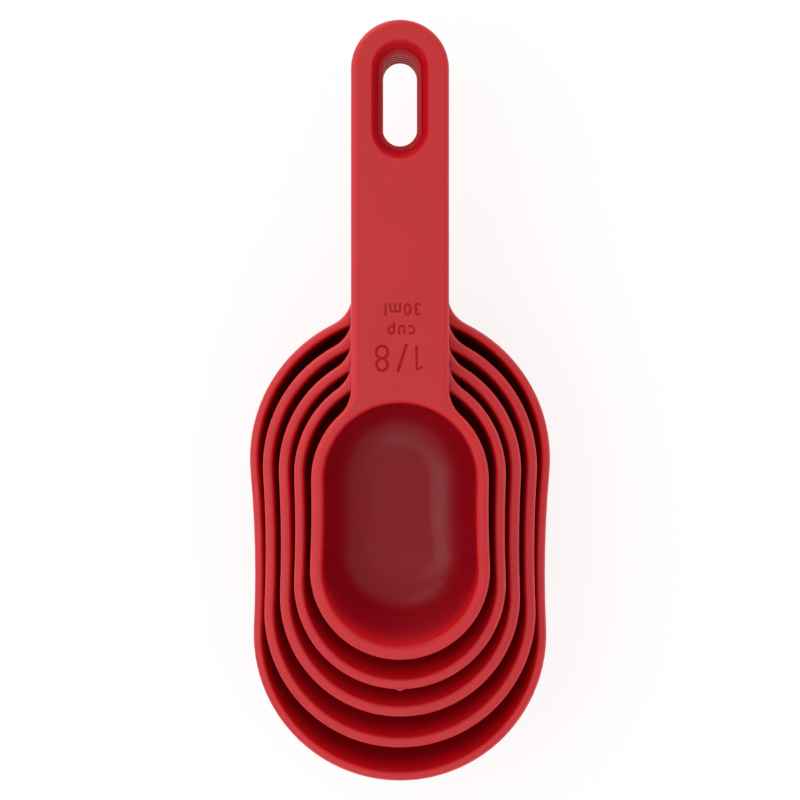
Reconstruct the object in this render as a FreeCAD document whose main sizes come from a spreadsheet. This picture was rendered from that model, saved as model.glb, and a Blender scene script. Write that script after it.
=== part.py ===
import FreeCAD, Part
import Sketcher
import math
import os

# A set of five nested measuring cups, 1, 1/2, 1/3, 1/4 and 1/8 cup, each a single polypropylene
# moulding: a shallow two-lobed bowl with a lipped rim and a channel-section handle that ends in a
# half round with a hanging slot. The handles are all alike and lie on each other exactly, so the
# slots line up; each bowl stands free inside the next larger one.
#
# Millimetres. X is across the handle, +Y runs from the bowls to the handle's end, +Z is up. The
# origin is at the centre of the set's outline, on the surface that the largest cup stands on.

SIZES = {
    # What all five cups share.
    "pitch": 4.5,            # from rim to rim in the stack, which is also a handle's full height
    "plate": 2.0,            # thickness of the handle's top plate and of the rim lip
    "wall": 1.5,             # bowl wall, square to it
    "base": 1.6,             # bowl floor
    "edge_round": 1.5,       # round-over along the outside of the rim and handle
    "mouth_round": 0.7,      # round-over along the inside of the rim
    "waist_radius": 300.0,   # the slight hollow between the two lobes
    "near_draft": 3.0,       # slope of the bowl's wall below the handle, degrees
    "side_draft": 6.0,       # slope of its two sides
    "far_draft": 34.0,       # slope of its scooped end
    "handle_end": 100.1,     # origin to the handle's end
    "handle_half": 12.74,    # half of the handle's width
    "neck_radius": 9.0,      # hollow where the handle flares into the rim
    "skirt": 1.9,            # wall of the handle's skirt
    "slot_inset": 20.75,     # handle's end to the slot's centre
    "slot_half": 4.5,        # half of the slot's width
    "slot_pitch": 14.9,      # between the centres of the slot's two half rounds
    "dish_half": 7.4,        # half width of the dished recess around the slot, at its brim
    "dish_pitch": 16.1,      # between the centres of the brim's two half rounds
    "dish_depth": 3.2,
    "dish_round": 0.8,       # hollow between the dish's wall and its bottom
    "ledge": 1.0,            # what the dish's bottom leaves around the slot
    "ledge_round": 0.4,      # round-over of the slot's edge, and of the dish's brim
    "collar": 1.4,           # wall around the dish, square to the handle's height
    "gate_half": 2.0,        # half width of the pointed gate mark on the quarter cup's rim
    "gate_reach": 0.45,      # how far it stands out
    "gate_drop": 0.5,        # how far it stays below the rim's top
    # The largest cup, which sets the others.
    "one_near": 25.7,        # origin to the rim at the handle
    "one_far": 100.1,        # origin to the rim at the scooped end
    "one_near_lobe": 40.0,   # rim radius of the lobe at the handle
    "one_far_lobe": 39.0,    # rim radius of the lobe at the scooped end
    "one_depth": 38.1,
    "one_lip": 2.35,         # width of the rim
    "one_round": 14.0,       # round between floor and walls, inside
}

# Each smaller cup steps in from the one that it sits in, at both ends and in both lobes' radii,
# and stands clear of that one's floor by the air below its base.
STEPS = ("near_step", "far_step", "near_lobe_step", "far_lobe_step", "air", "lip", "round")
SMALLER = {
    "half": (5.7, 9.4, 3.7, 3.1, 17.6, 2.7, 12.0),
    "third": (5.4, 8.7, 4.4, 4.3, 5.1, 2.8, 12.0),
    "quarter": (5.0, 7.7, 4.2, 3.9, 2.2, 2.6, 12.0),
    "eighth": (5.95, 8.1, 4.6, 4.3, 7.3, 3.1, 12.5),
}
CUPS = ("one", "half", "third", "quarter", "eighth")
GATED = "quarter"            # the one cup whose gate mark wasn't trimmed flush

doc = FreeCAD.newDocument("measuring_cups")


# ---------------------------------------------------------------- the sheet of sizes

def make_sheet():
    """The driving sizes, one named cell each."""
    page = doc.addObject("Spreadsheet::Sheet", "Sizes")
    values = dict(SIZES)
    for cup, row in SMALLER.items():
        values.update({f"{cup}_{name}": value for name, value in zip(STEPS, row)})
    for row, (name, value) in enumerate(values.items(), 1):
        page.set(f"A{row}", name)
        page.set(f"B{row}", str(value))
        page.setAlias(f"B{row}", name)
    doc.recompute()
    return page


sheet = make_sheet()


def number(expression):
    """An expression's present value."""
    value = sheet.evalExpression(expression)
    return float(getattr(value, "Value", value))


def stepped(cup, first, step):
    """The largest cup's size less every step down to this cup."""
    inner = CUPS[1:CUPS.index(cup) + 1]
    return "(" + " - ".join([f"Sizes.{first}"] + [f"Sizes.{name}_{step}" for name in inner]) + ")"


def depth_of(cup):
    """A bowl's depth: each base is the named air above the floor below it."""
    lifts = CUPS.index(cup)
    return f"({stepped(cup, 'one_depth', 'air')} + {lifts} * (Sizes.pitch - Sizes.base))"


def section(cup, level, skin=False):
    """A level cut through a bowl, that far below its rim: its inside, or its outside for a skin.

    Gives both ends' reach from the origin and both lobes' radii, as expressions.
    """
    reaches = {
        "near": ("one_near", "near_step", "near_draft"),
        "far": ("one_far", "far_step", "far_draft"),
        "near_lobe": ("one_near_lobe", "near_lobe_step", "side_draft"),
        "far_lobe": ("one_far_lobe", "far_lobe_step", "side_draft"),
    }
    cut = {}
    for name, (first, step, draft) in reaches.items():
        outside = f" + Sizes.wall / cos(Sizes.{draft})" if skin else ""
        inset = f"Sizes.{cup}_lip + {level} * tan(Sizes.{draft})"
        cut[name] = f"({stepped(cup, first, step)} - ({inset}){outside})"
    return cut


def rim(cup):
    """The rim's outer edge, in the same form as a section."""
    return {
        "near": stepped(cup, "one_near", "near_step"),
        "far": stepped(cup, "one_far", "far_step"),
        "near_lobe": stepped(cup, "one_near_lobe", "near_lobe_step"),
        "far_lobe": stepped(cup, "one_far_lobe", "far_lobe_step"),
    }


# ---------------------------------------------------------------- sketches

START, END, CENTRE = 1, 2, 3
Y_AXIS, ORIGIN = -2, -1


def new_sketch(body, name, level):
    """A sketch level with the rim's plane, or an expression's distance below it."""
    sketch = body.newObject("Sketcher::SketchObject", name)
    plane = [item for item in body.Origin.OriginFeatures if item.Role == "XY_Plane"][0]
    sketch.AttachmentSupport = [(plane, "")]
    sketch.MapMode = "FlatFace"
    sketch.setExpression("AttachmentOffset.Base.z", f"-({level})")
    return sketch


def draw_arc(sketch, centre, radius, start, end):
    """An arc from one angle round to the other, anticlockwise, in radians."""
    circle = Part.Circle(FreeCAD.Vector(*centre, 0), FreeCAD.Vector(0, 0, 1), radius)
    return sketch.addGeometry(Part.ArcOfCircle(circle, start, end), False)


def draw_line(sketch, start, end):
    """A straight edge between two points."""
    ends = FreeCAD.Vector(*start, 0), FreeCAD.Vector(*end, 0)
    return sketch.addGeometry(Part.LineSegment(*ends), False)


def constrain(sketch, kind, *places):
    """The same constraint at each place."""
    for place in places:
        sketch.addConstraint(Sketcher.Constraint(kind, *place))


def bind(sketch, kind, place, expression):
    """A dimension that follows an expression over the sheet."""
    index = sketch.addConstraint(Sketcher.Constraint(kind, *place, number(expression)))
    sketch.renameConstraint(index, f"size{index}")
    sketch.setExpression(f"Constraints.size{index}", expression)


def bind_height(sketch, item, point, expression):
    """How far a point lies up the Y axis."""
    bind(sketch, "DistanceY", (ORIGIN, START, item, point), expression)


class Lobes:
    """Where a section's arcs lie at present, for a sketch to start from."""

    def __init__(self, cut):
        self.upper, self.lower = number(cut["near_lobe"]), number(cut["far_lobe"])
        self.top = number(cut["near"]) - self.upper
        self.bottom = self.lower - number(cut["far"])
        self.waist = number("Sizes.waist_radius")
        reach_1, reach_2 = self.upper + self.waist, self.lower + self.waist
        span = self.top - self.bottom
        drop = (reach_1 ** 2 - reach_2 ** 2 + span ** 2) / (2 * span)
        self.side = math.sqrt(reach_1 ** 2 - drop ** 2)
        self.height = self.top - drop
        self.above = math.asin(drop / reach_1)
        self.below = math.asin((span - drop) / reach_2)


def draw_lobes(sketch, cut):
    """The far lobe and the two waists, which every bowl outline has."""
    at = Lobes(cut)
    far = draw_arc(sketch, (0, at.bottom), at.lower, math.pi - at.below, 2 * math.pi + at.below)
    right = draw_arc(sketch, (at.side, at.height), at.waist,
                     math.pi - at.above, math.pi + at.below)
    left = draw_arc(sketch, (-at.side, at.height), at.waist, -at.below, at.above)
    constrain(sketch, "Tangent", (right, END, far, END), (far, START, left, START))
    constrain(sketch, "PointOnObject", (far, CENTRE, Y_AXIS))
    bind(sketch, "Radius", (far,), cut["far_lobe"])
    bind_height(sketch, far, CENTRE, f"{cut['far_lobe']} - {cut['far']}")
    bind(sketch, "Radius", (right,), "Sizes.waist_radius")
    bind(sketch, "Radius", (left,), "Sizes.waist_radius")
    return at, right, left


def draw_near_lobe(sketch, cut, start, end):
    """The near lobe, or a part of it."""
    at = Lobes(cut)
    near = draw_arc(sketch, (0, at.top), at.upper, start, end)
    constrain(sketch, "PointOnObject", (near, CENTRE, Y_AXIS))
    bind(sketch, "Radius", (near,), cut["near_lobe"])
    bind_height(sketch, near, CENTRE, f"{cut['near']} - {cut['near_lobe']}")
    return near


def bowl_sketch(body, name, level, cut):
    """A bowl's outline at one level: two lobes and the waists between, all tangent."""
    sketch = new_sketch(body, name, level)
    at, right, left = draw_lobes(sketch, cut)
    near = draw_near_lobe(sketch, cut, -at.above, math.pi + at.above)
    constrain(sketch, "Tangent", (near, START, right, START), (left, END, near, END))
    return sketch


def draw_handle_end(sketch, inset, neck):
    """The handle's half round and sides, inset from its edge, down to where the neck starts."""
    half = number(f"Sizes.handle_half - {inset}")
    centre = number("Sizes.handle_end - Sizes.handle_half")
    cap = draw_arc(sketch, (0, centre), half, 0, math.pi)
    right = draw_line(sketch, (half, neck), (half, centre))
    left = draw_line(sketch, (-half, centre), (-half, neck))
    constrain(sketch, "Vertical", (right,), (left,))
    constrain(sketch, "Tangent", (right, END, cap, START), (cap, END, left, START))
    constrain(sketch, "PointOnObject", (cap, CENTRE, Y_AXIS))
    bind(sketch, "Radius", (cap,), f"Sizes.handle_half - {inset}")
    bind_height(sketch, cap, CENTRE, "Sizes.handle_end - Sizes.handle_half")
    return right, left


def neck_height(cut):
    """How far up the Y axis the neck's hollows are centred: each touches the near lobe."""
    reach = f"pow({cut['near_lobe']} + Sizes.neck_radius; 2)"
    across = "pow(Sizes.handle_half + Sizes.neck_radius; 2)"
    return f"({cut['near']} - {cut['near_lobe']} + sqrt({reach} - {across}))"


def draw_necks(sketch, cut, inset, sides):
    """The two hollows from the handle's sides to the rim, inset from its edge."""
    radius = number(f"Sizes.neck_radius + {inset}")
    across = number("Sizes.handle_half + Sizes.neck_radius")
    height = number(neck_height(cut))
    turn = math.acos(across / number(f"{cut['near_lobe']} + Sizes.neck_radius"))
    right = draw_arc(sketch, (across, height), radius, math.pi, math.pi + turn)
    left = draw_arc(sketch, (-across, height), radius, -turn, 0)
    constrain(sketch, "Tangent", (sides[0], START, right, START), (sides[1], END, left, END))
    bind(sketch, "Radius", (right,), f"Sizes.neck_radius + {inset}")
    bind(sketch, "Radius", (left,), f"Sizes.neck_radius + {inset}")
    return right, left


def cup_sketch(body, name, level, cut):
    """The whole cup from above: rim, necks and handle in one smooth outline."""
    sketch = new_sketch(body, name, level)
    at, waist_right, waist_left = draw_lobes(sketch, cut)
    sides = draw_handle_end(sketch, "0", number(neck_height(cut)))
    necks = draw_necks(sketch, cut, "0", sides)
    turn = math.acos(number(f"(Sizes.handle_half + Sizes.neck_radius)"
                            f" / ({cut['near_lobe']} + Sizes.neck_radius)"))
    lobe_right = draw_near_lobe(sketch, cut, -at.above, turn)
    lobe_left = draw_near_lobe(sketch, cut, math.pi - turn, math.pi + at.above)
    constrain(sketch, "Tangent",
              (lobe_right, START, waist_right, START), (waist_left, END, lobe_left, END),
              (necks[0], END, lobe_right, END), (lobe_left, START, necks[1], START))
    return sketch


def handle_sketch(body, name, level, cut, inset):
    """The handle alone, inset from its edge, closed off inside the bowl's outline."""
    sketch = new_sketch(body, name, level)
    sides = draw_handle_end(sketch, inset, number(neck_height(cut)))
    necks = draw_necks(sketch, cut, inset, sides)
    across = "(Sizes.handle_half + Sizes.neck_radius)"
    ratio = f"(Sizes.neck_radius + {inset}) / ({cut['near_lobe']} + Sizes.neck_radius)"
    foot = f"({across} * (1 - {ratio}))"
    closing = f"({cut['near']} - {cut['near_lobe']})"
    x, low = number(foot), number(closing)
    high = number(neck_height(cut)) * (1 - number(ratio)) + low * number(ratio)
    right = draw_line(sketch, (x, high), (x, low))
    base = draw_line(sketch, (x, low), (-x, low))
    left = draw_line(sketch, (-x, low), (-x, high))
    constrain(sketch, "Coincident", (necks[0], END, right, START), (right, END, base, START),
              (base, END, left, START), (left, END, necks[1], START))
    constrain(sketch, "Vertical", (right,), (left,))
    constrain(sketch, "Horizontal", (base,))
    bind_height(sketch, base, START, closing)
    for neck, point, side in ((necks[0], END, 1), (necks[1], START, -1)):
        bind_height(sketch, neck, CENTRE, neck_height(cut))
        bind(sketch, "DistanceX", (ORIGIN, START, neck, point), f"{side} * {foot}")
    return sketch


def slot_sketch(body, name, level, half, pitch="Sizes.slot_pitch"):
    """An obround around the hanging slot's centre, of the given half width and pitch."""
    sketch = new_sketch(body, name, level)
    centre = "(Sizes.handle_end - Sizes.slot_inset)"
    x, middle, reach = number(half), number(centre), number(f"{pitch} / 2")
    upper = draw_arc(sketch, (0, middle + reach), x, 0, math.pi)
    left = draw_line(sketch, (-x, middle + reach), (-x, middle - reach))
    lower = draw_arc(sketch, (0, middle - reach), x, math.pi, 2 * math.pi)
    right = draw_line(sketch, (x, middle - reach), (x, middle + reach))
    constrain(sketch, "Tangent", (upper, END, left, START), (left, END, lower, START),
              (lower, END, right, START), (right, END, upper, START))
    constrain(sketch, "PointOnObject", (upper, CENTRE, Y_AXIS), (lower, CENTRE, Y_AXIS))
    constrain(sketch, "Vertical", (left,))
    bind(sketch, "Radius", (upper,), half)
    bind_height(sketch, upper, CENTRE, f"{centre} + {pitch} / 2")
    bind_height(sketch, lower, CENTRE, f"{centre} - {pitch} / 2")
    return sketch


def gate_sketch(body, name, level, cut):
    """A blunt triangle that points outwards from the middle of the scooped end's rim."""
    sketch = new_sketch(body, name, level)
    tip = f"(-{cut['far']} - Sizes.gate_reach)"
    root = f"(-{cut['far']} + Sizes.gate_reach)"
    x, low, high = number("Sizes.gate_half"), number(tip), number(root)
    right = draw_line(sketch, (0, low), (x, high))
    base = draw_line(sketch, (x, high), (-x, high))
    left = draw_line(sketch, (-x, high), (0, low))
    constrain(sketch, "Coincident", (right, END, base, START), (base, END, left, START),
              (left, END, right, START))
    constrain(sketch, "Horizontal", (base,))
    constrain(sketch, "PointOnObject", (right, START, Y_AXIS))
    bind_height(sketch, right, START, tip)
    bind_height(sketch, base, START, root)
    bind(sketch, "DistanceX", (ORIGIN, START, base, START), "Sizes.gate_half")
    bind(sketch, "DistanceX", (ORIGIN, START, base, END), "-Sizes.gate_half")
    return sketch


# ---------------------------------------------------------------- features

def extrude(body, kind, name, sketch, length, upwards):
    """A pad, or a pocket, of a sketch, up or down by an expression's length."""
    feature = body.newObject(f"PartDesign::{kind}", name)
    feature.Profile = sketch
    feature.setExpression("Length", length)
    feature.Reversed = upwards if kind == "Pocket" else not upwards
    return settle(feature)


def loft(body, kind, name, first, second):
    """A straight-sided loft between two sketches, added or cut away."""
    feature = body.newObject(f"PartDesign::{kind}Loft", name)
    feature.Profile = first
    feature.Sections = [second]
    feature.Ruled = True
    return settle(feature)


def fillet(body, name, base, edges, radius):
    """Rounds the edges of a feature that the list names."""
    feature = body.newObject("PartDesign::Fillet", name)
    feature.Base = (base, edges)
    feature.setExpression("Radius", radius)
    return settle(feature)


def settle(feature):
    """Recomputes, and stops at a feature that failed or that changed nothing."""
    doc.recompute()
    if "Invalid" in feature.State or "Error" in feature.State or feature.Shape.isNull():
        raise RuntimeError(f"{feature.Label} failed: {feature.State}")
    base = getattr(feature, "BaseFeature", None)
    if base and abs(feature.Shape.Volume - base.Shape.Volume) < 0.01:
        raise RuntimeError(f"{feature.Label} changed nothing")
    return feature


def edges_of(feature, wanted):
    """The names of a feature's edges that a test picks out."""
    return [f"Edge{i}" for i, edge in enumerate(feature.Shape.Edges, 1) if wanted(edge)]


def level_edges(feature, level):
    """The names of the edges that lie flat at a height, given as an expression."""
    height = number(level)
    return edges_of(feature, lambda edge: all(
        abs(point.z - height) < 1e-4 for point in edge.discretize(4)))


def brim_edges(feature, level, place):
    """The names of the edges round an opening: in the flat face at a height, around a place on Y."""
    height, y = number(level), number(place)
    names = []
    for face in feature.Shape.Faces:
        box = face.BoundBox
        if abs(box.ZMin - height) > 1e-4 or abs(box.ZMax - height) > 1e-4:
            continue
        for wire in face.Wires:
            box = wire.BoundBox
            if not wire.isSame(face.OuterWire) and box.YMin < y < box.YMax:
                names += edges_of(feature, lambda e: any(e.isSame(o) for o in wire.Edges))
    return names


# ---------------------------------------------------------------- one cup

def make_top(body, cut):
    """The rim and handle as one plate with its outer edge rounded over."""
    outline = cup_sketch(body, "Outline", "Sizes.plate", cut)
    plate = extrude(body, "Pad", "Plate", outline, "Sizes.plate", True)
    return fillet(body, "EdgeRound", plate, level_edges(plate, "0"), "Sizes.edge_round")


def make_gate(body, cut):
    """The mark where the plastic entered the mould, left on the edge of the rim."""
    outline = gate_sketch(body, "GateOutline", "Sizes.plate", cut)
    extrude(body, "Pad", "Gate", outline, "Sizes.plate - Sizes.gate_drop", True)


def make_channel(body, cut):
    """The skirt under the handle, open below, which stands on the next handle's flat top."""
    height = "Sizes.pitch - Sizes.plate"
    outside = handle_sketch(body, "SkirtOutline", "Sizes.plate", cut, "0")
    extrude(body, "Pad", "Skirt", outside, height, False)
    inside = handle_sketch(body, "ChannelOutline", "Sizes.plate", cut, "Sizes.skirt")
    extrude(body, "Pocket", "Channel", inside, height, False)


def make_collar(body):
    """The sloping wall under the dish, down to the skirt's foot."""
    rise = "(1 - Sizes.plate / Sizes.dish_depth)"
    foot = "Sizes.slot_half + Sizes.ledge + Sizes.collar"
    head = f"{foot} + {rise} * (Sizes.dish_half - Sizes.slot_half - Sizes.ledge)"
    pitch = f"(Sizes.slot_pitch + {rise} * (Sizes.dish_pitch - Sizes.slot_pitch))"
    upper = slot_sketch(body, "CollarHead", "Sizes.plate", head, pitch)
    lower = slot_sketch(body, "CollarFoot", "Sizes.pitch", foot)
    loft(body, "Additive", "Collar", upper, lower)


def floor_round(cup):
    """The round between floor and walls, held to what the skirt and the lobes leave."""
    inside = section(cup, depth_of(cup))
    lobe = f"min({inside['near_lobe']}; {inside['far_lobe']})"
    below_skirt = f"({depth_of(cup)} + Sizes.base - Sizes.pitch)"
    return f"min(Sizes.{cup}_round; {below_skirt} - Sizes.wall; 0.9 * {lobe})"


def make_bowl(body, cup):
    """The bowl: its outside added, its inside cut, and both rounded into a flat floor."""
    depth = depth_of(cup)
    bottom = f"({depth} + Sizes.base)"
    head = bowl_sketch(body, "ShellHead", "Sizes.plate", section(cup, "Sizes.plate", True))
    foot = bowl_sketch(body, "ShellFoot", bottom, section(cup, bottom, True))
    loft(body, "Additive", "Shell", head, foot)
    mouth = bowl_sketch(body, "Mouth", "0", section(cup, "0"))
    floor = bowl_sketch(body, "Floor", depth, section(cup, depth))
    cavity = loft(body, "Subtractive", "Cavity", mouth, floor)
    hollow = fillet(body, "FloorRound", cavity, level_edges(cavity, f"-{depth}"),
                    floor_round(cup))
    fillet(body, "BaseRound", hollow, level_edges(hollow, f"-{bottom}"),
           f"{floor_round(cup)} + Sizes.wall")


def make_slot(body):
    """The dished hanging slot: a sloping recess, hollowed into a ledge, and the slot through it."""
    ledge = "Sizes.slot_half + Sizes.ledge"
    brim = slot_sketch(body, "DishBrim", "0", "Sizes.dish_half", "Sizes.dish_pitch")
    bottom = slot_sketch(body, "DishBottom", "Sizes.dish_depth", ledge)
    dish = loft(body, "Subtractive", "Dish", brim, bottom)
    fillet(body, "DishRound", dish, level_edges(dish, "-Sizes.dish_depth"), "Sizes.dish_round")
    through = slot_sketch(body, "SlotOutline", "0", "Sizes.slot_half")
    return extrude(body, "Pocket", "Slot", through, "Sizes.pitch", False)


def finish_edges(body, feature, cup):
    """Breaks the mouth's inner edge, the dish's brim and the edge of the slot."""
    mouth = section(cup, "0")
    feature = fillet(body, "MouthRound", feature,
                     brim_edges(feature, "0", f"{mouth['near']} - {mouth['near_lobe']}"),
                     "Sizes.mouth_round")
    slot = "Sizes.handle_end - Sizes.slot_inset"
    feature = fillet(body, "BrimRound", feature, brim_edges(feature, "0", slot),
                     "Sizes.ledge_round")
    return fillet(body, "LedgeRound", feature,
                  brim_edges(feature, "-Sizes.dish_depth", slot), "Sizes.ledge_round")


def make_cup(cup):
    """One cup, its rim's plane at the body's own height 0, stood at its place in the stack."""
    body = doc.addObject("PartDesign::Body", f"{cup}_cup")
    body.Label = f"{cup}_cup"
    cut = rim(cup)
    make_top(body, cut)
    if cup == GATED:
        make_gate(body, cut)
    make_channel(body, cut)
    make_collar(body)
    make_bowl(body, cup)
    finish_edges(body, make_slot(body), cup)
    lifts = CUPS.index(cup)
    body.setExpression("Placement.Base.z",
                       f"Sizes.base + Sizes.one_depth + {lifts} * Sizes.pitch")
    return body


# ---------------------------------------------------------------- build and write

def check(bodies):
    """Stops unless every object computed and every cup is one sound solid."""
    doc.recompute()
    for item in doc.Objects:
        if "Invalid" in item.State or "Error" in item.State:
            raise RuntimeError(f"{item.Label} is {item.State}")
    for body in bodies:
        shape = body.Shape
        if shape.isNull() or not shape.isValid() or len(shape.Solids) != 1:
            raise RuntimeError(f"{body.Label} isn't one sound solid")


cups = [make_cup(cup) for cup in CUPS]
check(cups)
os.makedirs("parts", exist_ok=True)
for cup in cups:
    cup.Shape.exportStep(f"parts/{cup.Label}.step")
    size = cup.Shape.BoundBox
    print(f"{cup.Label}: {cup.Shape.Volume / 1000:.2f} cm3, y {size.YMin:.2f} to {size.YMax:.2f},"
          f" z {size.ZMin:.2f} to {size.ZMax:.2f}")
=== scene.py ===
import math

import bmesh
import bpy
from mathutils import Matrix, Vector
from mathutils.geometry import delaunay_2d_cdt


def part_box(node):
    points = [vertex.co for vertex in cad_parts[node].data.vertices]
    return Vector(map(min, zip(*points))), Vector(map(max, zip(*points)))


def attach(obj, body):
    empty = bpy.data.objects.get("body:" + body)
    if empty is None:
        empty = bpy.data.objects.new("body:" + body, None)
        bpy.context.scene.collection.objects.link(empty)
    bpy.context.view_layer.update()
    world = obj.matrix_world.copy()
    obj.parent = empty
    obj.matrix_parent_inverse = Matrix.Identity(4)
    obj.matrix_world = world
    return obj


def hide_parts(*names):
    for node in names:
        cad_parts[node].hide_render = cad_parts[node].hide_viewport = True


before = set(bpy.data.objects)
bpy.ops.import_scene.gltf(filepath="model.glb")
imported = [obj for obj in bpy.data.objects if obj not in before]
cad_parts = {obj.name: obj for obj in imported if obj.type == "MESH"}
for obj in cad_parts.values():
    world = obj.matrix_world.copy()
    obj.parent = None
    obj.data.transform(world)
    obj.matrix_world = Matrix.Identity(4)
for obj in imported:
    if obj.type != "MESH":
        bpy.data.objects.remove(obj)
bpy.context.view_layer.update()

# The view. The set lies flat and is seen from straight above, handle up, through a lens far
# enough away that the lower rims show only a little smaller than the top one.

TOP_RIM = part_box("eighth_cup")[1][2]
CAMERA_ABOVE_RIM = 0.700
VIEW_WIDTH = 0.2074    # what the lens takes in across the top rim
VIEW_MIDDLE = (0.0, 0.0013)

lens = bpy.data.cameras.new("camera")
lens.sensor_fit = "HORIZONTAL"
lens.angle = 2 * math.atan(VIEW_WIDTH / 2 / CAMERA_ABOVE_RIM)
lens.clip_start = 0.01
camera = bpy.data.objects.new("camera", lens)
camera.location = (*VIEW_MIDDLE, TOP_RIM + CAMERA_ABOVE_RIM)
bpy.context.collection.objects.link(camera)
bpy.context.scene.camera = camera

# The studio. A white worktop in a pale room that is brightest low down, and three soft lamps: a
# low one behind the set on its left, and high ones on the left and at the front.

scene = bpy.context.scene
scene.view_settings.view_transform = "Standard"


def linear(colour):
    """A colour written as sRGB hex, as the linear values that a shader takes."""
    parts = [int(colour[i:i + 2], 16) / 255 for i in (1, 3, 5)]
    return [c / 12.92 if c <= 0.04045 else ((c + 0.055) / 1.055) ** 2.4 for c in parts] + [1.0]


def add_node(tree, kind, inputs=(), **settings):
    """One node, its settings, and its inputs: each a value or another node's output."""
    node = tree.nodes.new(kind)
    for name, value in settings.items():
        setattr(node, name, value)
    for name, value in dict(inputs).items():
        if isinstance(value, bpy.types.NodeSocket):
            tree.links.new(value, node.inputs[name])
        else:
            node.inputs[name].default_value = value
    return node


def white_laminate():
    """Matt white laminate, seen and mirrored as plain white with a trace of the set's shadow."""
    material = bpy.data.materials.new("white_laminate")
    material.use_nodes = True
    tree = material.node_tree
    tree.nodes.clear()
    laminate = add_node(tree, "ShaderNodeBsdfDiffuse", {"Color": linear("#F2F2F2")})
    # Light on the grey, added to not quite white, comes to white except where the set shades it.
    shaded = add_node(tree, "ShaderNodeBsdfDiffuse", {"Color": linear("#9C9A9A")})
    not_quite_white = add_node(tree, "ShaderNodeEmission",
                               {"Color": linear("#FFFFFF"), "Strength": 0.78})
    seen = add_node(tree, "ShaderNodeAddShader",
                    {0: shaded.outputs[0], 1: not_quite_white.outputs[0]})
    rays = add_node(tree, "ShaderNodeLightPath").outputs
    mirrored = add_node(tree, "ShaderNodeMath",
                        {0: rays["Is Glossy Ray"], 1: rays["Is Transmission Ray"]},
                        operation="MAXIMUM")
    looked_at = add_node(tree, "ShaderNodeMath",
                         {0: rays["Is Camera Ray"], 1: mirrored.outputs[0]},
                         operation="MAXIMUM")
    mixed = add_node(tree, "ShaderNodeMixShader",
                     {0: looked_at.outputs[0], 1: laminate.outputs[0], 2: seen.outputs[0]})
    add_node(tree, "ShaderNodeOutputMaterial", {"Surface": mixed.outputs[0]})
    return material


REACH = 1.5    # from the worktop's middle to its edges
worktop = bpy.data.meshes.new("worktop")
worktop.from_pydata([(-REACH, -REACH, 0), (REACH, -REACH, 0), (REACH, REACH, 0),
                     (-REACH, REACH, 0)], [], [(0, 1, 2, 3)])
worktop.materials.append(white_laminate())
floor = bpy.data.objects.new("worktop", worktop)
bpy.context.collection.objects.link(floor)


def room(all_round, overhead, walls_to=0.15, ceiling_from=0.35):
    """Even white light that falls off with height, the two heights given as an angle's sine."""
    world = bpy.data.worlds.new("room")
    world.use_nodes = True
    tree = world.node_tree
    direction = add_node(tree, "ShaderNodeTexCoord")
    height = add_node(tree, "ShaderNodeSeparateXYZ", {0: direction.outputs["Generated"]})
    strength = add_node(tree, "ShaderNodeMapRange",
                        {"Value": height.outputs["Z"], "From Min": walls_to,
                         "From Max": ceiling_from, "To Min": all_round, "To Max": overhead},
                        interpolation_type="SMOOTHSTEP")
    background = tree.nodes["Background"]
    background.inputs["Color"].default_value = linear("#FFFFFF")
    tree.links.new(strength.outputs["Result"], background.inputs["Strength"])
    return world


scene.world = room(all_round=1.0, overhead=0.52)


def softbox(name, turn, lean, distance, size, power):
    """A square lamp that faces the set, turned from +X and leaning from the vertical, degrees."""
    light = bpy.data.lights.new(name, "AREA")
    light.shape = "SQUARE"
    light.size = size
    light.energy = power
    lamp = bpy.data.objects.new(name, light)
    lamp.matrix_world = (Matrix.Rotation(math.radians(turn), 4, "Z")
                         @ Matrix.Rotation(math.radians(lean), 4, "Y")
                         @ Matrix.Translation((0, 0, distance)))
    bpy.context.collection.objects.link(lamp)


softbox("back_softbox", turn=120, lean=78, distance=1.5, size=1.0, power=5.2)
softbox("left_softbox", turn=180, lean=30, distance=1.1, size=0.7, power=1.8)
softbox("front_softbox", turn=270, lean=32, distance=1.1, size=0.7, power=0.9)

# The plastic. Every cup is one injection moulding in the same translucent red polypropylene. The
# mould is spark-eroded to a satin on the rims, handles and outside, and polished inside the bowl.
# Deep inside the bowls and in the marks' grooves the red is painted darker, as painted shade.

MM = 0.001
SATIN_ROUGHNESS = 0.45


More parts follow.
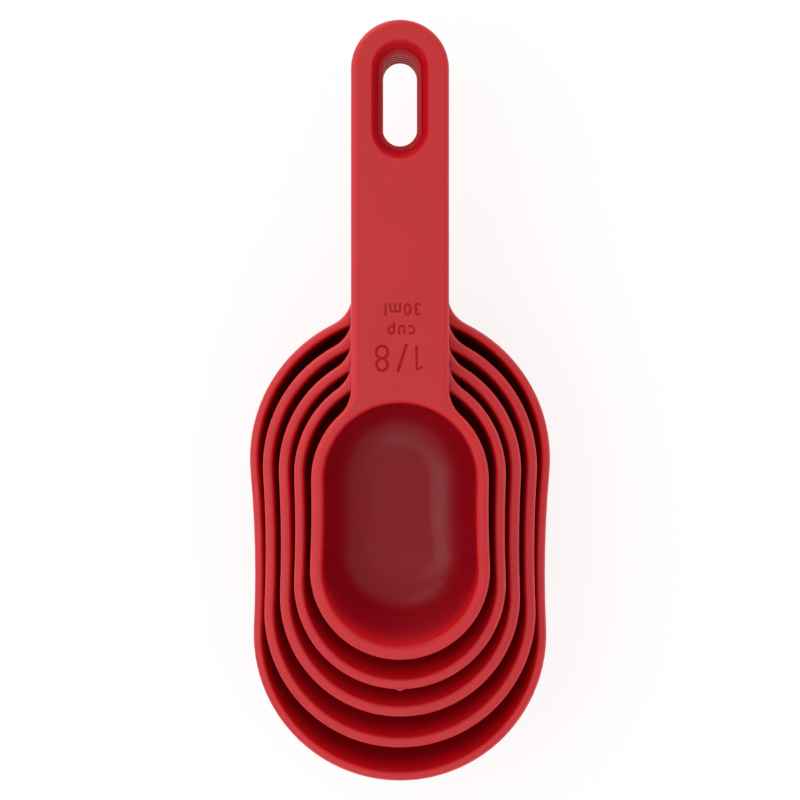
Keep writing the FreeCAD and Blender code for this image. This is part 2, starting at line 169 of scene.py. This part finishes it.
def polypropylene(name, colour, streak, roughness, haze, grain, relief, painted_deep_shade=None):
    """Moulded red polypropylene, which soaks up light for a few millimetres and glows at edges.

    streak is the colour of its faint flow marks, haze is how much light the finish throws back,
    and grain and relief are the mould's finish in mm. painted_deep_shade is painted shade: a
    darker red further down inside a bowl, standing in for the light through the thin wall that
    fades away below the mouth, and there the finish starts at the mouth.
    """
    material = bpy.data.materials.new(name)
    material.use_nodes = True
    tree = material.node_tree
    shader = tree.nodes["Principled BSDF"]
    shader.inputs["IOR"].default_value = 1.49
    shader.inputs["Specular IOR Level"].default_value = haze
    shader.inputs["Subsurface Weight"].default_value = 1.0
    shader.inputs["Subsurface Radius"].default_value = (1.0, 0.08, 0.08)
    shader.inputs["Subsurface Scale"].default_value = 2.5 * MM
    place = add_node(tree, "ShaderNodeTexCoord").outputs["Object"]
    flow = add_node(tree, "ShaderNodeTexNoise",
                    {"Vector": place, "Scale": 1 / (16 * MM), "Detail": 1.0})
    coloured = add_node(tree, "ShaderNodeMixRGB",
                        {"Fac": flow.outputs["Fac"], "Color1": linear(colour),
                         "Color2": linear(streak)})
    finish = add_node(tree, "ShaderNodeMapRange",
                      {"Value": flow.outputs["Fac"],
                       "To Min": roughness - 0.08, "To Max": roughness + 0.08})
    if painted_deep_shade:
        below_rim = add_node(tree, "ShaderNodeAttribute", attribute_name="below_rim")
        # Painted shade: from 0.4 mm to 6 mm below the rim the red fades to the darker painted
        # shade.
        painted_shade_depth = add_node(tree, "ShaderNodeMapRange",
                         {"Value": below_rim.outputs["Fac"], "From Min": 0.4, "From Max": 6.0},
                         interpolation_type="SMOOTHSTEP")
        coloured = add_node(tree, "ShaderNodeMixRGB",
                            {"Fac": painted_shade_depth.outputs["Result"], "Color1": coloured.outputs["Color"],
                             "Color2": linear(painted_deep_shade)})
        finish = add_node(tree, "ShaderNodeMapRange",
                          {"Value": below_rim.outputs["Fac"], "From Min": 0.4, "From Max": 0.8,
                           "To Min": SATIN_ROUGHNESS, "To Max": finish.outputs["Result"]},
                          interpolation_type="SMOOTHSTEP")
    grains = add_node(tree, "ShaderNodeTexNoise",
                      {"Vector": place, "Scale": 1 / (grain * MM), "Detail": 1.0})
    raised = add_node(tree, "ShaderNodeBump",
                      {"Height": grains.outputs["Fac"], "Distance": relief * MM})
    tree.links.new(coloured.outputs["Color"], shader.inputs["Base Color"])
    tree.links.new(finish.outputs["Result"], shader.inputs["Roughness"])
    tree.links.new(raised.outputs["Normal"], shader.inputs["Normal"])
    return material


# The satin scatters the lamps into a pale haze. Its spark-eroded grain is really about 0.1 mm,
# and is drawn at 0.5 mm so that it shows.
satin = polypropylene("satin_moulded_polypropylene", "#E01623", "#D81321",
                      roughness=SATIN_ROUGHNESS, haze=0.7, grain=0.5, relief=0.014)
# The polish has a soft orange peel. Deeper inside the bowl its red is painted darker, a painted
# shade for the light that comes through the thin wall only near the mouth.
polished = polypropylene("polished_moulded_polypropylene", "#DC1422", "#D21120",
                         roughness=0.33, haze=0.38, grain=2.5, relief=0.004, painted_deep_shade="#A8041A")
# The marks' bottoms are milled smooth in the mould, so they are clear of haze and look darker.
# Their red is also painted darker, a painted shade for the groove's shadow.
milled_with_painted_shade = polypropylene("milled_polypropylene_with_painted_shade", "#CE101D", "#C40E1B",
                       roughness=0.35, haze=0.25, grain=1.0, relief=0.004)

# The capacity marks. Each handle carries its cup's measure, cut into the mould's face as thin
# round-ended strokes: a large fraction, the unit and the volume in millilitres, read from the
# bowl's side with the handle pointing down.


def arc(x, y, across, up, start, end):
    """Points along part of an ellipse, from one angle to another in degrees."""
    steps = math.ceil(abs(end - start) / 12)
    turns = [math.radians(start + (end - start) * i / steps) for i in range(steps + 1)]
    return [(x + across * math.cos(t), y + up * math.sin(t)) for t in turns]


# Each figure is its width and its strokes, where a numeral is 1 high.
FIGURES = {
    "0": (0.54, [arc(0.27, 0.5, 0.27, 0.5, 90, 450)]),
    "1": (0.24, [[(-0.02, 0.86), (0.17, 0.96), (0.17, 0.04)]]),
    "2": (0.52, [arc(0.25, 0.75, 0.24, 0.25, 165, -35) + [(0.0, 0.0), (0.52, 0.0)]]),
    "3": (0.46, [arc(0.20, 0.76, 0.22, 0.24, 140, -90) + arc(0.20, 0.26, 0.25, 0.26, 90, -140)]),
    "4": (0.56, [[(0.42, 0.0), (0.42, 1.0), (0.0, 0.28), (0.56, 0.28)]]),
    "6": (0.52, [[(0.36, 1.0), (0.08, 0.45)] + arc(0.26, 0.27, 0.26, 0.27, 140, 500)]),
    "8": (0.47, [arc(0.235, 0.755, 0.225, 0.245, -90, 270),
                 arc(0.235, 0.255, 0.24, 0.255, 90, 450)]),
    "/": (0.34, [[(-0.03, -0.03), (0.31, 1.02)]]),
    "c": (0.44, [arc(0.33, 0.36, 0.33, 0.36, 65, 295)]),
    "u": (0.48, [[(0.0, 0.74), (0.0, 0.24)] + arc(0.24, 0.24, 0.24, 0.24, 180, 360)
                 + [(0.48, 0.74)]]),
    "p": (0.52, [[(0.0, 0.60), (0.0, -0.25)], arc(0.26, 0.37, 0.26, 0.37, 90, 450)]),
    "m": (0.92, [[(0.0, 0.0), (0.0, 0.54)] + arc(0.23, 0.54, 0.23, 0.20, 180, 0) + [(0.46, 0.0)],
                 [(0.46, 0.54)] + arc(0.69, 0.54, 0.23, 0.20, 180, 0) + [(0.92, 0.0)]]),
    "l": (0.0, [[(0.0, 0.0), (0.0, 1.04)]]),
}

# Each line of a mark, in mm: height, stroke, space between figures, where its middle lies across
# the handle, and how far its foot is from the bowl.
LINES = {
    "fraction": (6.4, 0.78, 2.41, -0.35, 14.9),
    "unit": (2.74, 0.56, 1.35, 0.4, 20.1),
    "volume": (2.74, 0.55, 1.23, 0.76, 25.8),
}


def rounded_end(before, end, half_stroke):
    """Points past a stroke's end, with its half width shrinking to nothing in a half round."""
    along = (end - before).normalized()
    turns = [math.radians(degrees) for degrees in (22, 44, 62, 76, 86)]
    return [(end + along * half_stroke * math.sin(t), half_stroke * math.cos(t)) for t in turns]


def mark_strokes(name, marks, bowl_end, top):
    """A mark as open and closed curves on the handle's top, half as thick as each stroke."""
    curve = bpy.data.curves.new(name, "CURVE")
    curve.dimensions = "3D"
    for line, text in marks.items():
        height, stroke, space, middle, foot = LINES[line]
        width = sum(FIGURES[figure][0] * height for figure in text) + space * (len(text) - 1)
        start = middle + width / 2
        for figure in text:
            figure_width, figure_strokes = FIGURES[figure]
            for points in figure_strokes:
                path = [Vector((start - x * height, bowl_end / MM + foot - y * height))
                        for x, y in points]
                closed = (path[0] - path[-1]).length < 1e-6
                spots = [(point, stroke / 2) for point in path[:len(path) - closed]]
                if not closed:
                    spots = rounded_end(path[1], path[0], stroke / 2)[::-1] + spots
                    spots += rounded_end(path[-2], path[-1], stroke / 2)
                spline = curve.splines.new("POLY")
                spline.points.add(len(spots) - 1)
                for point, (spot, half_stroke) in zip(spline.points, spots):
                    point.co = (spot.x * MM, spot.y * MM, top, 1.0)
                    point.radius = half_stroke * MM
                spline.use_cyclic_u = closed
            start -= figure_width * height + space
    strokes = bpy.data.objects.new(name, curve)
    bpy.context.collection.objects.link(strokes)
    return strokes


def engraver():
    """A tree that cuts a flat-bottomed groove into a cup along a mark's strokes."""
    tree = bpy.data.node_groups.new("engraver", "GeometryNodeTree")
    # A groove's sizes are in half strokes: how deep it is, how round along its bottom, and how
    # much wider at the top than halfway down.
    for name, kind, size in (("Cup", "Geometry", None), ("Strokes", "Object", None),
                             ("Depth", "Float", 0.75), ("Round", "Float", 0.2),
                             ("Flare", "Float", 0.12), ("Groove Finish With Painted Shade", "Material", None)):
        socket = tree.interface.new_socket(name, in_out="INPUT", socket_type="NodeSocket" + kind)
        if size is not None:
            socket.default_value = size
    tree.interface.new_socket("Cup", in_out="OUTPUT", socket_type="NodeSocketGeometry")
    given = add_node(tree, "NodeGroupInput").outputs
    strokes = add_node(tree, "GeometryNodeObjectInfo", {"Object": given["Strokes"]})
    upright = add_node(tree, "GeometryNodeSetCurveNormal",
                       {"Curve": strokes.outputs["Geometry"]}, mode="Z_UP")
    half_stroke = add_node(tree, "GeometryNodeInputRadius")
    twice = add_node(tree, "ShaderNodeMath", {0: given["Depth"], 1: 2.0}, operation="MULTIPLY")
    bottom = add_node(tree, "ShaderNodeMath", {0: 2.0, 1: given["Flare"]}, operation="SUBTRACT")
    brim = add_node(tree, "ShaderNodeMath", {0: 2.0, 1: given["Flare"]}, operation="ADD")
    profile = add_node(tree, "GeometryNodeCurvePrimitiveQuadrilateral",
                       {"Height": twice.outputs[0], "Bottom Width": bottom.outputs[0],
                        "Top Width": brim.outputs[0], "Offset": 0.0}, mode="TRAPEZOID")
    rounded = add_node(tree, "GeometryNodeFilletCurve",
                       {"Curve": profile.outputs["Curve"], "Count": 3,
                        "Radius": given["Round"]}, mode="POLY")
    tube = add_node(tree, "GeometryNodeCurveToMesh",
                    {"Curve": upright.outputs["Curve"], "Profile Curve": rounded.outputs["Curve"],
                     "Scale": half_stroke.outputs[0], "Fill Caps": True})
    joined = add_node(tree, "GeometryNodeMeshBoolean",
                      {"Mesh 2": tube.outputs[0], "Self Intersection": True},
                      operation="UNION", solver="EXACT")
    named = add_node(tree, "GeometryNodeStoreNamedAttribute",
                     {"Geometry": joined.outputs["Mesh"], "Name": "groove", "Value": True},
                     data_type="BOOLEAN", domain="FACE")
    cut = add_node(tree, "GeometryNodeMeshBoolean",
                   {"Mesh 1": given["Cup"], "Mesh 2": named.outputs[0]},
                   operation="DIFFERENCE", solver="MANIFOLD")
    real = add_node(tree, "GeometryNodeRealizeInstances", {"Geometry": cut.outputs["Mesh"]})
    groove = add_node(tree, "GeometryNodeInputNamedAttribute", {"Name": "groove"},
                      data_type="BOOLEAN")
    # The grooves take the milled plastic, whose darker red is painted shade for the recess.
    finished = add_node(tree, "GeometryNodeSetMaterial",
                        {"Geometry": real.outputs[0], "Selection": groove.outputs["Attribute"],
                         "Material": given["Groove Finish With Painted Shade"]})
    add_node(tree, "NodeGroupOutput", {"Cup": finished.outputs[0]})
    return tree


engrave = engraver()
socket_of = {item.name: item.identifier for item in engrave.interface.items_tree
             if item.in_out == "INPUT"}

# The five cups. Each is one moulding: a bowl of two lobes with a flat floor, a rim lip that
# flows into the handle, a channel under the handle and a dished slot to hang it by. They nest
# loose, handle on handle.

CUPS = {
    "one_cup": ("one", {"fraction": "1", "unit": "cup", "volume": "240ml"}),
    "half_cup": ("half", {"fraction": "1/2", "unit": "cup", "volume": "120ml"}),
    "third_cup": ("third", {"fraction": "1/3", "unit": "cup", "volume": "80ml"}),
    "quarter_cup": ("quarter", {"fraction": "1/4", "unit": "cup", "volume": "60ml"}),
    "eighth_cup": ("eighth", {"fraction": "1/8", "unit": "cup", "volume": "30ml"}),
}
EDGE_ROUND = 1.5 * MM                   # on the outside of the rims and handles
LIP = 3 * MM                            # from a rim's outside to the bowl
SLOT_FROM_END = (29 * MM, 13 * MM)      # the centres of the slot's round ends
DISH_RADIUS = 12 * MM                   # around those centres, a little more than the dish
UPRIGHT, LEVEL = 0.01, 0.999            # how far up a face's normal points
WELD = 0.001 * MM                       # vertices that are nearer than this are one
CUT_WELD = 0.002 * MM                   # the same along the cut figures
SAME_LEVEL = 0.003 * MM
CREASE = math.radians(32)               # edges that bend more than this stay crisp


def is_in_bowl(face, top, slot):
    """Whether a face is well down inside the bowl: below the rounded edges, and facing up."""
    middle = face.calc_center_median()
    return (face.normal.z > UPRIGHT and top - middle.z > EDGE_ROUND
            and middle.y < slot[0] - DISH_RADIUS)


def is_polished(face, top, spine, slot, reach):
    """Whether a face is inside the bowl or the dish: below the top, facing in, within reach."""
    middle = face.calc_center_median()
    if face.normal.z < UPRIGHT:
        return False
    if top - middle.z > EDGE_ROUND:
        return True
    if face.normal.z > LEVEL:
        return False
    in_dish = middle.y > slot[0] - DISH_RADIUS
    near, far = slot if in_dish else spine
    inward = Vector((0.0, min(max(middle.y, near), far))) - middle.xy
    return inward.dot(face.normal.xy) > 0 and (in_dish or inward.length < reach)


def moulding(name, low, high):
    """A cup in one welded mesh, satin or polished face by face, and where its bowl ends."""
    mould = bmesh.new()
    mould.from_mesh(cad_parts[name].data)
    bmesh.ops.remove_doubles(mould, verts=mould.verts, dist=WELD)
    slot = [high.y - distance for distance in SLOT_FROM_END]
    half_width = (high.x - low.x) / 2
    bowl_end = max(face.calc_center_median().y for face in mould.faces
                   if is_in_bowl(face, high.z, slot))
    spine = (low.y + half_width, bowl_end + LIP - half_width)
    for face in mould.faces:
        face.smooth = True
        face.material_index = is_polished(face, high.z, spine, slot, half_width - EDGE_ROUND)
    mesh = bpy.data.meshes.new(name + "_moulding")
    mould.to_mesh(mesh)
    mould.free()
    for spent in ("custom_normal", "sharp_edge", "sharp_face"):
        if spent in mesh.attributes:
            mesh.attributes.remove(mesh.attributes[spent])
    mesh.materials.append(satin)
    mesh.materials.append(polished)
    return mesh, bowl_end


def cut_mark(name, mesh, strokes):
    """The moulding with its mark cut in, as a plain mesh."""
    blank = bpy.data.objects.new(name + "_blank", mesh)
    bpy.context.collection.objects.link(blank)
    cutter = blank.modifiers.new("engraver", "NODES")
    cutter.node_group = engrave
    cutter[socket_of["Strokes"]] = strokes
    cutter[socket_of["Groove Finish With Painted Shade"]] = milled_with_painted_shade
    graph = bpy.context.evaluated_depsgraph_get()
    engraved = bpy.data.meshes.new_from_object(blank.evaluated_get(graph), depsgraph=graph)
    for spent in (blank, strokes):
        bpy.data.objects.remove(spent)
    return engraved


def refill_flat(mesh, top):
    """Fills the flat around the figures anew with even triangles, right up to their edges."""
    work = bmesh.new()
    work.from_mesh(mesh)
    bmesh.ops.remove_doubles(work, verts=work.verts, dist=CUT_WELD)
    flat = [face for face in work.faces
            if all(abs(vert.co.z - top) < SAME_LEVEL for vert in face.verts)]
    in_flat = set(flat)
    border = [edge for edge in work.edges if len(in_flat.intersection(edge.link_faces)) == 1]
    corners = list(dict.fromkeys(vert for edge in border for vert in edge.verts))
    place = {vert: i for i, vert in enumerate(corners)}
    ends = [[place[vert] for vert in edge.verts] for edge in border]
    bmesh.ops.delete(work, geom=flat, context="FACES")
    _, edges, faces, sources, walls, _ = delaunay_2d_cdt(
        [vert.co.xy / MM for vert in corners], ends, [], 0, 1e-6)
    wall = {frozenset(edge) for edge, source in zip(edges, walls) if source}
    beside = {}
    for i, face in enumerate(faces):
        for a, b in zip(face, face[1:] + face[:1]):
            beside.setdefault(frozenset((a, b)), []).append(i)
    # From the outer edge inwards, each border crossed turns bare into filled and back.
    filled = {}
    front = [(sides[0], edge in wall) for edge, sides in beside.items() if len(sides) == 1]
    while front:
        i, is_filled = front.pop()
        if i in filled:
            continue
        filled[i] = is_filled
        for a, b in zip(faces[i], faces[i][1:] + faces[i][:1]):
            edge = frozenset((a, b))
            front += [(j, is_filled ^ (edge in wall)) for j in beside[edge] if j != i]
    for i, face in enumerate(faces):
        if filled[i]:
            made = work.faces.new([corners[sources[v][0]] for v in face])
            made.smooth = True
    work.to_mesh(mesh)
    work.free()


for name, (body, marks) in CUPS.items():
    low, high = map(Vector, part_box(name))
    mesh, bowl_end = moulding(name, low, high)
    engraved = cut_mark(name, mesh, mark_strokes(name + "_strokes", marks, bowl_end, high.z))
    refill_flat(engraved, high.z)
    below_rim = engraved.attributes.new("below_rim", "FLOAT", "POINT")
    below_rim.data.foreach_set("value", [(high.z - vert.co.z) / MM for vert in engraved.vertices])
    engraved.set_sharp_from_angle(angle=CREASE)
    cup = bpy.data.objects.new(name + "_engraved", engraved)
    bpy.context.collection.objects.link(cup)
    shading = cup.modifiers.new("even_shading", "WEIGHTED_NORMAL")
    shading.keep_sharp = True
    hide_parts(name)
    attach(cup, body)
